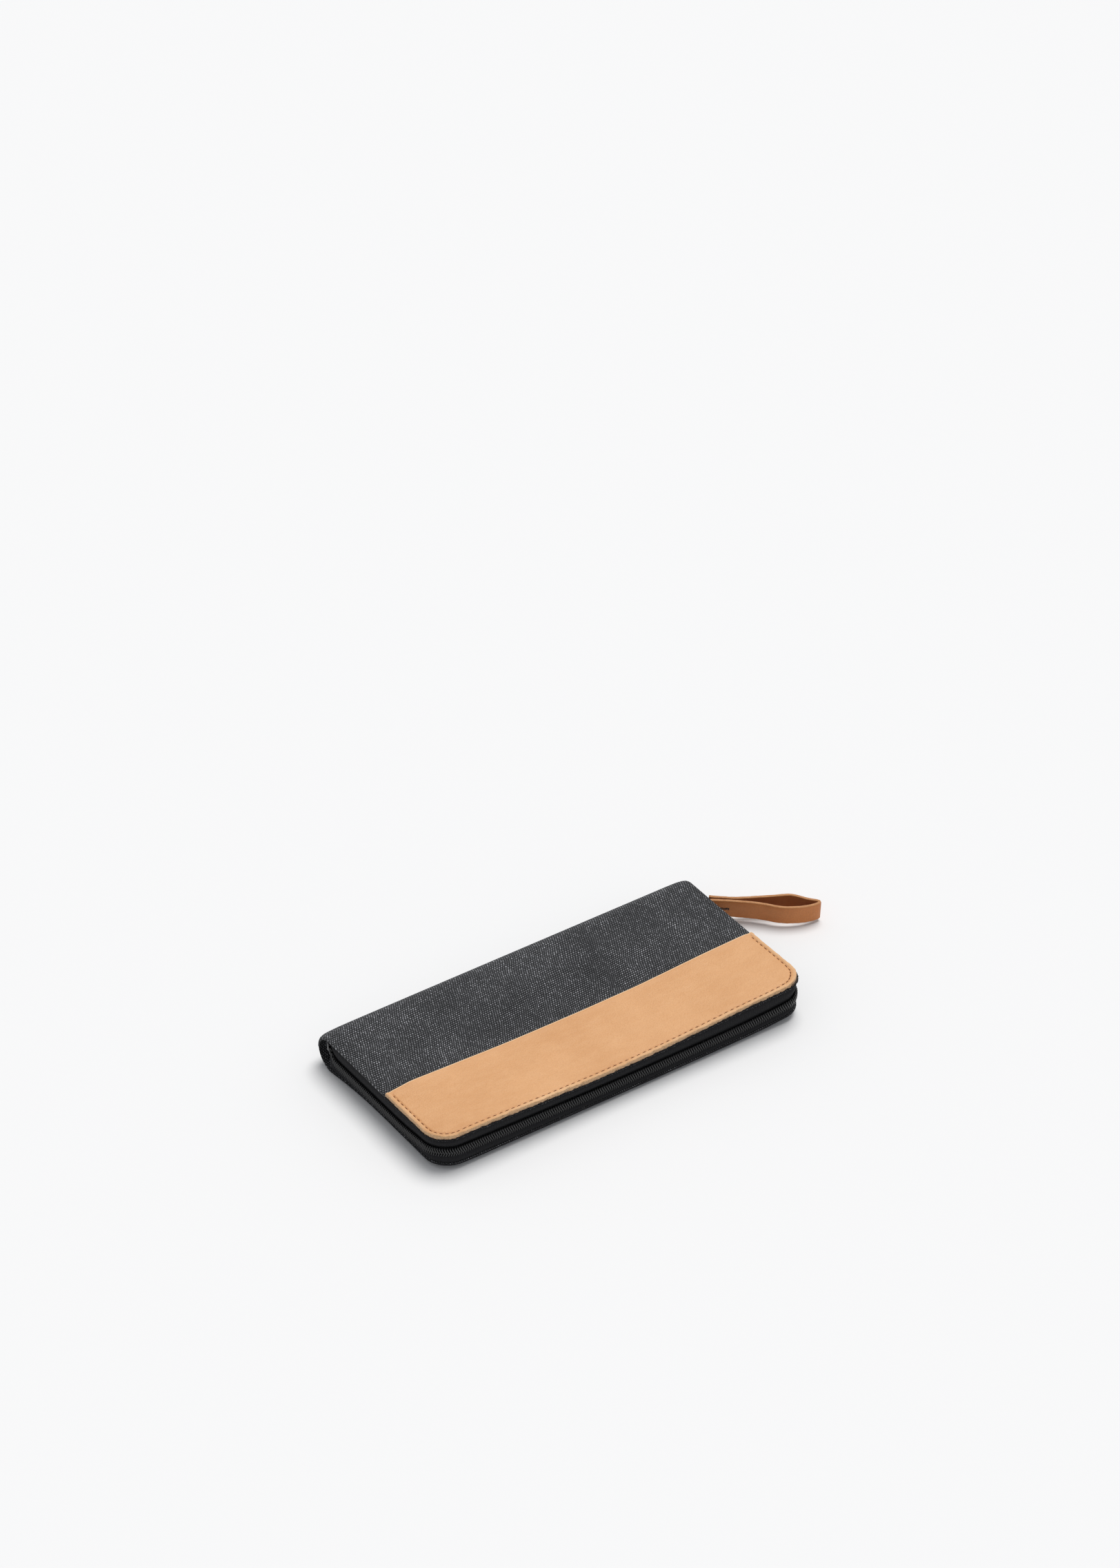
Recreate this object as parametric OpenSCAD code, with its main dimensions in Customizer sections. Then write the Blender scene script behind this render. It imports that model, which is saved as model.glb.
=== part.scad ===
// Three-side zip-around pouch with a canvas cover, a leather front panel and a looped leather pull.
// X runs along the spine with the pull at +X, -Y is the zip front, +Y the spine, Z is up.
// The origin is the middle of the underside.

/* [Body] */
// Length along the spine
body_l = 196; // [160:1:230]
// Depth from the zip front to the spine
body_w = 96; // [85:1:115]
// Height of the closed pouch to the top of the canvas
body_h = 18.2; // [17.4:0.1:22]
// Radius of the two front corners
corner_r = 12; // [8:0.5:18]
// Canvas thickness
canvas_t = 0.9; // [0.6:0.1:1.2]
// Board thickness in both covers
board_t = 1.1; // [0.8:0.1:1.6]
// Lining thickness
lining_t = 0.4; // [0.3:0.05:0.6]

/* [Leather panel] */
// Leather thickness
leather_t = 1.4; // [1:0.1:2]
// Depth of the panel from the front edge
leather_d = 41.9; // [25:0.1:60]
// How far the leather stops inside the canvas edge
leather_in = 0.7; // [0.3:0.1:1.5]
// Distance of the seam from the leather edge
seam_in = 2.3; // [1.5:0.1:4]

/* [Zip] */
// Height of the middle of the chain
chain_z = 7.5; // [6.8:0.1:9]
// Width over both coils
chain_w = 4.7; // [4:0.1:6]
// How far a coil stands out from its tape
coil_t = 1.5; // [1.2:0.1:2]
// Tape thickness
tape_t = 0.6; // [0.4:0.05:0.8]
// Free gap between the two tapes
tape_gap = 1.8; // [1.6:0.1:2.6]
// Slider length
slider_l = 10; // [8:0.5:12]
// Slider width
slider_w = 8; // [7.4:0.1:9]
// Where the closed slider stands along the depth
slider_y = 34.5; // [25:0.5:34.5]

/* [Pull] */
// Direction of the resting strap, from +X towards the spine
pull_angle = -37; // [-60:1:30]
// Strap width, standing on edge
strap_w = 10; // [7:0.5:10]
// Strap leather thickness
strap_t = 1.4; // [1:0.1:1.8]
// Fall of the strap towards its loop, in degrees
strap_fall = 2.4; // [0:0.1:2.4]

/* [Pockets] */
// Width of the inner pockets
pocket_l = 176; // [150:1:178]
// Step from one card pocket mouth to the next
card_step = 12; // [8:1:14]
// Pocket cloth thickness
pocket_t = 0.3; // [0.2:0.05:0.4]
// Rise of the seam under each pocket sheet
pocket_gap = 0.4; // [0.3:0.05:0.5]

/* [Hidden] */
$fn = 72;
hx = body_l / 2;
y_front = -body_w / 2;
spine_r = body_h / 2;
spine_y = body_w / 2 - spine_r;
fold_a = 45;
fold_gap_a = 5;
tape_in = coil_t + 0.1;
coil_gap = 0.3;
low_flange_z = canvas_t + board_t;
low_lining_z = low_flange_z + lining_t;
low_top = low_lining_z + lining_t;
top_board_z = body_h - canvas_t - board_t;
top_flange_z = top_board_z - lining_t;
top_lining_z = top_flange_z - lining_t;
low_tape_top = chain_z - tape_gap / 2;
top_tape_bottom = chain_z + tape_gap / 2;
tape_end = spine_y + 2.6;
pin_x = hx + 2.55;
pin_r = 0.8;
plate_t = 0.9;
plate_out = hx + 0.3;
plate_in = hx - tape_in - tape_t - 0.35;
tongue_t = 0.8;
pocket_front = y_front + 6;
note_top = low_top + 2 * pocket_gap + pocket_t;

canvas_c = [0.27, 0.27, 0.28];
leather_c = [0.87, 0.68, 0.47];
tape_c = [0.13, 0.13, 0.13];
coil_c = [0.09, 0.09, 0.09];
metal_c = [0.22, 0.22, 0.23];
lining_c = [0.55, 0.52, 0.46];
board_c = [0.62, 0.55, 0.42];
strap_c = [0.69, 0.46, 0.31];
thread_c = [0.42, 0.24, 0.12];
dark_thread_c = [0.1, 0.09, 0.09];

// plan of a cover, set in from the outline by d and cut square at yb
module plan(d, yb) {
  r = corner_r - d;
  w = hx - d;
  y0 = y_front + d;
  union() {
    translate([-w, y0 + r]) square([2 * w, yb - y0 - r]);
    translate([-w + r, y0]) square([2 * (w - r), r + 1]);
    translate([-w + r, y0 + r]) circle(r);
    translate([w - r, y0 + r]) circle(r);
  }
}

// band that follows the three zip sides between two insets
module band(d0, d1, yb) {
  difference() {
    plan(d0, yb);
    plan(d1, yb + 1);
  }
}

// section of the spine curve between two angles, run along X
module spine_arc(a0, a1, ro, ri, l) {
  am = (a0 + a1) / 2;
  k = 2 * ro;
  translate([0, spine_y, spine_r])
    rotate([90, 0, 90])
      linear_extrude(l, center = true)
        intersection() {
          difference() {
            circle(ro);
            circle(ri);
          }
          polygon([[0, 0], [k * cos(a0), k * sin(a0)],
            [k * cos(am), k * sin(am)], [k * cos(a1), k * sin(a1)]]);
        }
}

// room inside the canvas, flat between the covers and round at the spine
module inside() {
  r = spine_r - canvas_t;
  union() {
    translate([-hx - 5, y_front - 5, canvas_t])
      cube([body_l + 10, spine_y - y_front + 5, body_h - 2 * canvas_t]);
    translate([0, spine_y, spine_r]) rotate([0, 90, 0])
      cylinder(r = r, h = body_l + 10, center = true);
  }
}

// rounded blank of one slider plate, seen along X
module slider_blank() {
  l = slider_l / 2;
  w = slider_w / 2;
  polygon([[-l, -w + 1.2], [-l + 0.8, -w + 0.4], [-l + 3, -w],
    [l - 1.8, -w], [l - 0.5, -w + 0.9], [l, -w + 2],
    [l, w - 2], [l - 0.5, w - 0.9], [l - 1.8, w],
    [-l + 3, w], [-l + 0.8, w - 0.4], [-l, w - 1.2]]);
}

// one pocket sheet with its sewn edges, open towards the spine
module pocket(z0, y_mouth, gap, middle) {
  translate([-pocket_l / 2, pocket_front, z0 + gap])
    cube([pocket_l, y_mouth - pocket_front, pocket_t]);
  translate([-pocket_l / 2, pocket_front, z0]) cube([pocket_l, 1.2, gap]);
  translate([-pocket_l / 2, pocket_front, z0])
    cube([1.2, y_mouth - pocket_front, gap]);
  translate([pocket_l / 2 - 1.2, pocket_front, z0])
    cube([1.2, y_mouth - pocket_front, gap]);
  if (middle) translate([-0.6, pocket_front, z0])
    cube([1.2, y_mouth - pocket_front, gap]);
}

// carries the parts of the pull from the pin to their resting place
module at_pull() {
  translate([pin_x, slider_y, chain_z])
    rotate([0, 0, pull_angle])
      children();
}

// flat tongue of the puller, held between the two leather layers
module tongue() {
  translate([4.4, -tongue_t / 2, -2.6]) cube([9, tongue_t, 5.2]);
}

// the two places where the tack's thread runs through leather and tongue
module tack_legs() {
  w = 2 * strap_t + tongue_t;
  rotate([0, strap_fall, 0]) {
    translate([8, -w / 2 - 0.1, -0.3]) cube([0.6, w + 0.2, 0.6]);
    translate([12, -w / 2 - 0.1, -0.3]) cube([0.6, w + 0.2, 0.6]);
  }
}

module rear_canvas() color(canvas_c) {
  difference() {
    union() {
      linear_extrude(canvas_t) plan(0, spine_y);
      spine_arc(-90, -fold_a - fold_gap_a, spine_r, spine_r - canvas_t, body_l);
    }
    translate([0, 0, -0.5]) linear_extrude(0.75)
      band(seam_in, seam_in + 0.5, spine_y - 1);
  }
}

module spine_canvas() color(canvas_c)
  spine_arc(-fold_a + fold_gap_a, fold_a - fold_gap_a,
    spine_r, spine_r - canvas_t, body_l);

module front_canvas() color(canvas_c) {
  translate([0, 0, body_h - canvas_t])
    linear_extrude(canvas_t) plan(0, spine_y);
  spine_arc(fold_a + fold_gap_a, 90, spine_r, spine_r - canvas_t, body_l);
}

module leather_panel() color(leather_c)
  translate([0, 0, body_h]) linear_extrude(leather_t)
    plan(leather_in, y_front + leather_in + leather_d);

module leather_topstitch() color(thread_c)
  translate([0, 0, body_h + leather_t]) linear_extrude(0.25)
    band(leather_in + seam_in, leather_in + seam_in + 0.5,
      y_front + leather_in + leather_d - 2);

module front_topstitch() color(dark_thread_c)
  translate([0, 0, body_h]) linear_extrude(0.2)
    intersection() {
      band(seam_in, seam_in + 0.5, spine_y - 1);
      translate([-hx, y_front + leather_in + leather_d + 0.5])
        square([body_l, body_w]);
    }

module rear_topstitch() color(dark_thread_c)
  translate([0, 0, 0.03]) linear_extrude(0.22)
    band(seam_in, seam_in + 0.5, spine_y - 1);

module rear_stiffener() color(board_c)
  translate([0, 0, canvas_t]) linear_extrude(board_t)
    plan(tape_in + tape_t, spine_y - 1.5);

module front_stiffener() color(board_c)
  translate([0, 0, top_board_z]) linear_extrude(board_t)
    plan(tape_in + tape_t, spine_y - 1.5);

module rear_lining() color(lining_c)
  translate([0, 0, low_lining_z]) linear_extrude(lining_t)
    plan(tape_in + tape_t, spine_y);

module front_lining() color(lining_c)
  translate([0, 0, top_lining_z]) linear_extrude(lining_t)
    plan(tape_in + tape_t, spine_y);

module spine_lining() color(lining_c)
  spine_arc(-38, 38, spine_r - canvas_t, spine_r - canvas_t - lining_t,
    body_l - 6);

module lower_tape() color(tape_c)
  intersection() {
    union() {
      translate([0, 0, canvas_t]) linear_extrude(low_tape_top - canvas_t)
        band(tape_in, tape_in + tape_t, tape_end);
      translate([0, 0, low_flange_z]) linear_extrude(lining_t)
        band(tape_in + tape_t - 0.1, tape_in + tape_t + 5, spine_y);
    }
    inside();
  }

module upper_tape() color(tape_c)
  intersection() {
    union() {
      translate([0, 0, top_tape_bottom])
        linear_extrude(body_h - canvas_t - top_tape_bottom)
          band(tape_in, tape_in + tape_t, tape_end);
      translate([0, 0, top_flange_z]) linear_extrude(lining_t)
        band(tape_in + tape_t - 0.1, tape_in + tape_t + 5, spine_y);
    }
    inside();
  }

module lower_coil() color(coil_c)
  translate([0, 0, chain_z - chain_w / 2])
    linear_extrude((chain_w - coil_gap) / 2)
      difference() {
        band(0, coil_t, spine_y);
        translate([0, slider_y + 2.1]) square([hx + 1, 20]);
      }

module upper_coil() color(coil_c)
  translate([0, 0, chain_z + coil_gap / 2])
    linear_extrude((chain_w - coil_gap) / 2)
      difference() {
        band(0, coil_t, spine_y);
        translate([0, slider_y - slider_l / 2 - 0.5]) square([hx + 1, 30]);
      }

module lower_stop() color(coil_c)
  translate([hx - tape_in, slider_y + slider_l / 2 + 0.4, chain_z - 3.1])
    cube([coil_t, 1.5, 2.5]);

module upper_stop() color(coil_c)
  translate([hx - tape_in, slider_y + slider_l / 2 + 0.4, chain_z + 0.6])
    cube([coil_t, 1.5, 2.5]);

module bottom_stop() color(coil_c)
  translate([-hx + 0.1, spine_y + 0.3, chain_z - chain_w / 2])
    cube([coil_t, 1.8, chain_w]);

module slider_body() color(metal_c) {
  w = slider_w / 2;
  l = slider_l / 2;
  translate([0, slider_y, chain_z]) {
    translate([plate_out, 0, 0]) rotate([90, 0, 90])
      linear_extrude(plate_t) slider_blank();
    translate([plate_in - plate_t, 0, 0]) rotate([90, 0, 90])
      linear_extrude(plate_t) slider_blank();
    translate([plate_out - 1.4, -l + 0.8, w - 0.85])
      cube([1.5, slider_l - 3.4, 0.8]);
    translate([plate_out - 1.4, -l + 0.8, -w + 0.05])
      cube([1.5, slider_l - 3.4, 0.8]);
    translate([plate_in - 0.1, 2.4, -0.6])
      cube([plate_out - plate_in + 0.2, 2, 1.2]);
    difference() {
      translate([plate_out + plate_t - 0.1, -3.2, -1.1])
        cube([3.4, 6.4, 2.2]);
      translate([plate_out + plate_t - 0.2, -1.9, -2])
        cube([2.5, 3.8, 4]);
    }
  }
}

module puller() color(metal_c)
  at_pull() {
    cylinder(r = pin_r, h = 5.2, center = true);
    for (s = [-1, 1]) translate([0, -0.6, s * 2.1 - 0.5])
      cube([5, 1.2, 1]);
    difference() {
      tongue();
      tack_legs();
    }
  }

// plan of the doubled strap and its open loop
module loop_plan() {
  difference() {
    polygon([[5.6, -0.4 - strap_t], [14, -0.4 - strap_t], [21.5, -2.1],
      [28.3, -2.9], [33, -4], [36.5, -4.5], [40, -4.4], [45.6, -3.5],
      [50, -1.9], [53, 0], [54.2, 1.3], [54, 2.6], [52, 3.3],
      [48, 4.2], [44.5, 5.5], [41.5, 6.3], [38.5, 6.3], [32, 4.9],
      [21.5, 2.9], [14, 0.4 + strap_t], [5.6, 0.4 + strap_t]]);
    polygon([[15, -0.25], [21.5, -0.7], [28.3, -1.5], [33, -2.6],
      [36.5, -3.1], [40, -3], [45.2, -2.1], [49.3, -0.6], [52.3, 1.4],
      [51.8, 1.9], [47.5, 2.8], [43.8, 4.1], [41.2, 4.9], [38.7, 4.9],
      [32.3, 3.5], [21.7, 1.5], [15, 0.25]]);
  }
}

module pull_strap() color(strap_c)
  at_pull()
    difference() {
      rotate([0, strap_fall, 0]) translate([0, 0, -strap_w / 2])
        linear_extrude(strap_w) loop_plan();
      tongue();
      tack_legs();
    }

module strap_tack() color(dark_thread_c)
  at_pull() {
    tack_legs();
    rotate([0, strap_fall, 0]) for (s = [-1, 1])
      translate([8, s * (0.53 + strap_t) - 0.13, -0.3]) cube([4.6, 0.26, 0.6]);
  }

module note_pocket() color(lining_c)
  pocket(low_top, spine_y - 5, 2 * pocket_gap, false);

module card_pocket(k) color(canvas_c)
  pocket(note_top + (k - 1) * (pocket_gap + pocket_t),
    spine_y - 9 - (k - 1) * card_step, pocket_gap, true);

module card_pocket_1() card_pocket(1);
module card_pocket_2() card_pocket(2);
module card_pocket_3() card_pocket(3);
module card_pocket_4() card_pocket(4);

module slip_pocket_deep() color(lining_c)
  translate([0, 0, top_lining_z]) mirror([0, 0, 1])
    pocket(0, spine_y - 9, 2 * pocket_gap, false);

module slip_pocket_short() color(canvas_c)
  translate([0, 0, top_lining_z - 2 * pocket_gap - pocket_t])
    mirror([0, 0, 1])
      pocket(0, spine_y - 34, pocket_gap, true);

rear_canvas();
spine_canvas();
front_canvas();
leather_panel();
leather_topstitch();
front_topstitch();
rear_topstitch();
rear_stiffener();
front_stiffener();
rear_lining();
spine_lining();
front_lining();
lower_tape();
upper_tape();
lower_coil();
upper_coil();
lower_stop();
upper_stop();
bottom_stop();
slider_body();
puller();
pull_strap();
strap_tack();
note_pocket();
card_pocket_1();
card_pocket_2();
card_pocket_3();
card_pocket_4();
slip_pocket_deep();
slip_pocket_short();
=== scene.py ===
import math
import random

import bmesh
import bpy
from mathutils import Matrix, Vector, noise


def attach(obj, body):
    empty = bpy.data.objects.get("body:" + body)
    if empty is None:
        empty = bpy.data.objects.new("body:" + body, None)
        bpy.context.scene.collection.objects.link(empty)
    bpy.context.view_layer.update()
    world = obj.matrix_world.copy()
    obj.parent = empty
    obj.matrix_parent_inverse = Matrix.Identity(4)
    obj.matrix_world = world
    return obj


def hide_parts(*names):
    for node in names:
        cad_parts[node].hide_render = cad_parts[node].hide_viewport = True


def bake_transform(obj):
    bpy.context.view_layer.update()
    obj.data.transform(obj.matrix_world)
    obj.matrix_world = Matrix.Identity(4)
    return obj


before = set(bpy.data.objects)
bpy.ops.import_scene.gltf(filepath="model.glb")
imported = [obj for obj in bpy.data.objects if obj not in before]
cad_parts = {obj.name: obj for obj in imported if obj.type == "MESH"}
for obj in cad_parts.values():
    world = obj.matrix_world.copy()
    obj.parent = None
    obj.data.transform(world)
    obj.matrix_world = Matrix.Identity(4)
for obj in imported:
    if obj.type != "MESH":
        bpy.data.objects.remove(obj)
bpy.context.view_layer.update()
print("frame loaded")

# Everything is shaped in millimetres and turned to metres when a piece is finished.
# Sizes that more than one piece uses: the closed shell, the leather panel and the zip chain.
mm = 0.001
shell = dict(half=98.0, front=-48.0, spineY=38.9, spineR=9.1, leftR=12.0, rightR=10.0,
             canvasTop=18.2)
panel = dict(inset=0.1, back=-6.8, thick=1.4, seam=2.1, groove=0.45, grooveWidth=0.45, rightR=11.0, pull=1.1)
chain = dict(z=7.5, half=2.6, pitch=1.16, wire=0.3, tapeTop=17.3, tapeLow=0.9)


def toLinear(hexColour):
    # sRGB hex to linear colour.
    parts = [int(hexColour[i:i + 2], 16) / 255 for i in (1, 3, 5)]
    return [c / 12.92 if c <= 0.04045 else ((c + 0.055) / 1.055) ** 2.4 for c in parts] + [1.0]


def addNode(tree, kind, inputs=None, **settings):
    # Adds one shader node; an input is a value or another node's socket.
    node = tree.nodes.new("ShaderNode" + kind)
    for name, value in settings.items():
        setattr(node, name, value)
    for key, value in (inputs or {}).items():
        if isinstance(value, bpy.types.NodeSocket):
            tree.links.new(value, node.inputs[key])
        else:
            node.inputs[key].default_value = value
    return node


def newMaterial(name):
    # A material whose patterns follow the piece's place before it was bent, in mm.
    material = bpy.data.materials.new(name)
    material.use_nodes = True
    tree = material.node_tree
    tree.nodes.clear()
    shader = addNode(tree, "BsdfPrincipled")
    addNode(tree, "OutputMaterial", {"Surface": shader.outputs[0]})
    cut = addNode(tree, "Attribute", attribute_name="cut")
    return material, tree, shader, cut.outputs["Vector"]


def mathNode(tree, operation, a, b=0.0, c=0.0, clamp=False):
    node = addNode(tree, "Math", {0: a, 1: b, 2: c}, operation=operation, use_clamp=clamp)
    return node.outputs[0]


def noiseNode(tree, vector, scale, detail=2.0, rough=0.5):
    return addNode(tree, "TexNoise", {"Vector": vector, "Scale": scale, "Detail": detail,
                                      "Roughness": rough}).outputs[0]


def waveNode(tree, value, turn):
    return mathNode(tree, "COSINE", mathNode(tree, "MULTIPLY", value, turn))


def spanNode(tree, value, low, high, toLow=0.0, toHigh=1.0):
    return addNode(tree, "MapRange", {0: value, 1: low, 2: high, 3: toLow, 4: toHigh}).outputs[0]


def mixNode(tree, factor, a, b, mode="MIX"):
    return addNode(tree, "MixRGB", {0: factor, 1: a, 2: b}, blend_type=mode).outputs[0]


def stretched(tree, vector, x, y, z):
    return addNode(tree, "Mapping", {"Vector": vector, "Scale": (x, y, z)}).outputs[0]


def setBump(tree, shader, height, depth, strength=1.0):
    bump = addNode(tree, "Bump", {"Height": height, "Distance": depth * mm, "Strength": strength})
    tree.links.new(bump.outputs[0], shader.inputs["Normal"])


def makeCanvas(name, weave):
    # Washed plain-weave cotton: light warp floats stand on a dark filling, a few of them almost white.
    material, tree, shader, cut = newMaterial(name)
    drift = addNode(tree, "TexNoise", {"Vector": cut, "Scale": 0.05, "Detail": 1.0}).outputs["Color"]
    moved = addNode(tree, "VectorMath", {0: drift, 3: weave["drift"]}, operation="SCALE").outputs[0]
    slub = addNode(tree, "TexNoise", {"Vector": cut, "Scale": 0.55, "Detail": 2.0}).outputs["Color"]
    jolt = addNode(tree, "VectorMath", {0: slub, 3: weave["jolt"]}, operation="SCALE").outputs[0]
    moved = addNode(tree, "VectorMath", {0: moved, 1: jolt}, operation="ADD").outputs[0]
    place = addNode(tree, "VectorMath", {0: cut, 1: moved}, operation="ADD").outputs[0]
    parts = addNode(tree, "SeparateXYZ", {0: place})
    across = mathNode(tree, "MULTIPLY", parts.outputs[0], 1 / weave["warp"])
    along = mathNode(tree, "MULTIPLY", parts.outputs[1], 1 / weave["weft"])
    over = mathNode(tree, "MULTIPLY", waveNode(tree, across, math.pi), waveNode(tree, along, math.pi))
    cell = addNode(tree, "CombineXYZ", {0: mathNode(tree, "ROUND", across),
                                        1: mathNode(tree, "ROUND", along)}).outputs[0]
    chance = addNode(tree, "TexWhiteNoise", {"Vector": cell}, noise_dimensions="3D").outputs[0]
    thread = addNode(tree, "TexWhiteNoise", {"W": mathNode(tree, "ROUND", across)},
                     noise_dimensions="1D").outputs[0]
    top = spanNode(tree, over, *weave["edge"])
    filling = spanNode(tree, over, -0.1, -0.8)
    fleck = mathNode(tree, "POWER", chance, weave["rarity"])
    blotch = spanNode(tree, noiseNode(tree, cut, 0.045, 4.0, 0.6), 0.3, 0.7, *weave["wash"])
    bright = mathNode(tree, "ADD", weave["plain"], mathNode(tree, "MULTIPLY", fleck, weave["fleck"]))
    bright = mathNode(tree, "MULTIPLY", bright, spanNode(tree, thread, 0, 1, 0.85, 1.15))
    bright = mathNode(tree, "MULTIPLY", mathNode(tree, "MULTIPLY", bright, top), blotch, clamp=True)
    colour = mixNode(tree, filling, toLinear(weave["gap"]), toLinear(weave["dark"]))
    colour = mixNode(tree, bright, colour, toLinear(weave["light"]))
    tree.links.new(colour, shader.inputs["Base Color"])
    shader.inputs["Roughness"].default_value = 0.92
    shader.inputs["IOR"].default_value = 1.45
    shader.inputs["Specular IOR Level"].default_value = 0.25
    shader.inputs["Sheen Weight"].default_value = 0.15
    shader.inputs["Sheen Roughness"].default_value = 0.5
    fibre = noiseNode(tree, cut, 6.0, 2.0)
    height = mathNode(tree, "ADD", over, mathNode(tree, "MULTIPLY", fibre, 0.5))
    setBump(tree, shader, height, weave["relief"])
    return material


def makeLeather(name, skin):
    # Vegetable-tanned cowhide with no finish: even tan, soft clouds, fine pores, low sheen.
    material, tree, shader, cut = newMaterial(name)
    cloud = spanNode(tree, noiseNode(tree, cut, 0.035, 5.0, 0.55), 0.3, 0.7)
    colour = mixNode(tree, cloud, toLinear(skin["dark"]), toLinear(skin["light"]))
    streak = noiseNode(tree, stretched(tree, cut, 0.1, 0.3, 0.3), 1.0, 4.0)
    colour = mixNode(tree, spanNode(tree, streak, 0.4, 0.75, 0, 0.3), colour, toLinear(skin["streak"]))
    pore = addNode(tree, "TexVoronoi", {"Vector": cut, "Scale": skin["poreScale"]}).outputs[0]
    grain = noiseNode(tree, cut, skin["grainScale"], 4.0, 0.6)
    colour = mixNode(tree, spanNode(tree, grain, 0.35, 0.65, 0.24, 0.0), colour, toLinear(skin["deep"]))
    if "fold" in skin:
        # A pale line along the turned edge: painted highlight where the fold catches the light.
        along = addNode(tree, "SeparateXYZ", {0: cut}).outputs[1]
        foldHighlightPaint = spanNode(tree, along, skin["fold"] - 0.9, skin["fold"] - 0.3, 0, 0.8)
        colour = mixNode(tree, foldHighlightPaint, colour, toLinear("#fce0bb"))
    tree.links.new(colour, shader.inputs["Base Color"])
    tree.links.new(spanNode(tree, grain, 0.3, 0.7, skin["rough"] - 0.06, skin["rough"] + 0.08),
                   shader.inputs["Roughness"])
    shader.inputs["IOR"].default_value = 1.46
    height = mathNode(tree, "ADD", mathNode(tree, "MULTIPLY", pore, 0.6), grain)
    setBump(tree, shader, height, skin["relief"])
    return material


def makeSuede(name, dark, light, relief=0.25, sheen=0.25):
    # Cut or flesh side of the leather: short loose fibres, no gloss.
    material, tree, shader, cut = newMaterial(name)
    fibre = noiseNode(tree, cut, 3.0, 5.0, 0.7)
    colour = mixNode(tree, spanNode(tree, fibre, 0.3, 0.7), toLinear(dark), toLinear(light))
    tree.links.new(colour, shader.inputs["Base Color"])
    shader.inputs["Roughness"].default_value = 0.95
    shader.inputs["Specular IOR Level"].default_value = 0.15
    shader.inputs["Sheen Weight"].default_value = sheen
    setBump(tree, shader, fibre, relief)
    return material


def makeRibbed(name, rib):
    # Woven zip tape: fine ribs stand across its length.
    material, tree, shader, cut = newMaterial(name)
    parts = addNode(tree, "SeparateXYZ", {0: cut})
    wave = waveNode(tree, parts.outputs[0], 2 * math.pi / rib["pitch"])
    pick = waveNode(tree, parts.outputs[2], 2 * math.pi / rib["pick"])
    fuzz = noiseNode(tree, cut, 2.2, 4.0, 0.65)
    tone = mathNode(tree, "ADD", mathNode(tree, "MULTIPLY", wave, 0.3), fuzz)
    colour = mixNode(tree, spanNode(tree, tone, 0.2, 0.95), toLinear(rib["dark"]), toLinear(rib["light"]))
    tree.links.new(colour, shader.inputs["Base Color"])
    shader.inputs["Roughness"].default_value = 0.8
    shader.inputs["Specular IOR Level"].default_value = 0.18
    height = mathNode(tree, "ADD", wave, mathNode(tree, "MULTIPLY", pick, 0.35))
    setBump(tree, shader, height, rib["relief"])
    return material


def makePlain(name, base, rough, metallic=0.0, ior=1.5, grain=0.0, relief=0.02, sheen=0.0):
    # Smooth stock such as nylon, enamel or thread; a little grain keeps it from looking painted on.
    material, tree, shader, cut = newMaterial(name)
    speck = noiseNode(tree, cut, 4.0, 3.0)
    dark = [c * (1 - grain) for c in toLinear(base)[:3]] + [1.0]
    light = [min(1, c * (1 + grain)) for c in toLinear(base)[:3]] + [1.0]
    tree.links.new(mixNode(tree, speck, dark, light), shader.inputs["Base Color"])
    shader.inputs["Roughness"].default_value = rough
    shader.inputs["Metallic"].default_value = metallic
    shader.inputs["IOR"].default_value = ior
    shader.inputs["Sheen Weight"].default_value = sheen
    setBump(tree, shader, speck, relief)
    return material


# Charcoal duck, washed until its raised threads are pale.
coverWeave = dict(warp=0.55, weft=1.15, drift=2.5, jolt=0.45, edge=(0.05, 0.9), rarity=2.6, plain=0.27,
                  fleck=0.5, wash=(0.7, 1.35), gap="#0d0e10", dark="#27282b", light="#d2d3d8", relief=0.22)
canvasCloth = makeCanvas("washedDuckCanvas", coverWeave)
# Dark grey cotton, finer and more even than the cover.
pocketWeave = dict(warp=0.35, weft=0.4, drift=0.6, jolt=0.2, edge=(-0.5, 0.9), rarity=3.0, plain=0.4,
                   fleck=0.2, wash=(0.9, 1.1), gap="#1c1d1f", dark="#2f3033", light="#85868a", relief=0.07)
pocketCloth = makeCanvas("pocketCottonTwill", pocketWeave)
# Thin mid-grey lining, almost smooth.
liningWeave = dict(warp=0.3, weft=0.32, drift=0.5, jolt=0.1, edge=(-0.8, 0.9), rarity=3.0, plain=0.6,
                   fleck=0.2, wash=(0.93, 1.07), gap="#37383b", dark="#434448", light="#6c6d72", relief=0.05)
liningCloth = makeCanvas("liningCotton", liningWeave)
# Pale natural tan with soft clouds, and a painted highlight along the turned back edge.
panelSkin = dict(dark="#d79e69", light="#e6af7b", streak="#ebb988", deep="#c68b55", poreScale=1.4,
                 grainScale=1.3, rough=0.5, relief=0.2, fold=panel["back"])
panelLeather = makeLeather("vegTanLeather", panelSkin)
# The same leather outside the seam, rubbed paler.
rimSkin = dict(dark="#d9a26e", light="#edc091", streak="#f3cfa6", deep="#c58d58", poreScale=2.2,
               grainScale=2.0, rough=0.65, relief=0.16)
rimLeather = makeLeather("rubbedLeatherRim", rimSkin)
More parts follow.
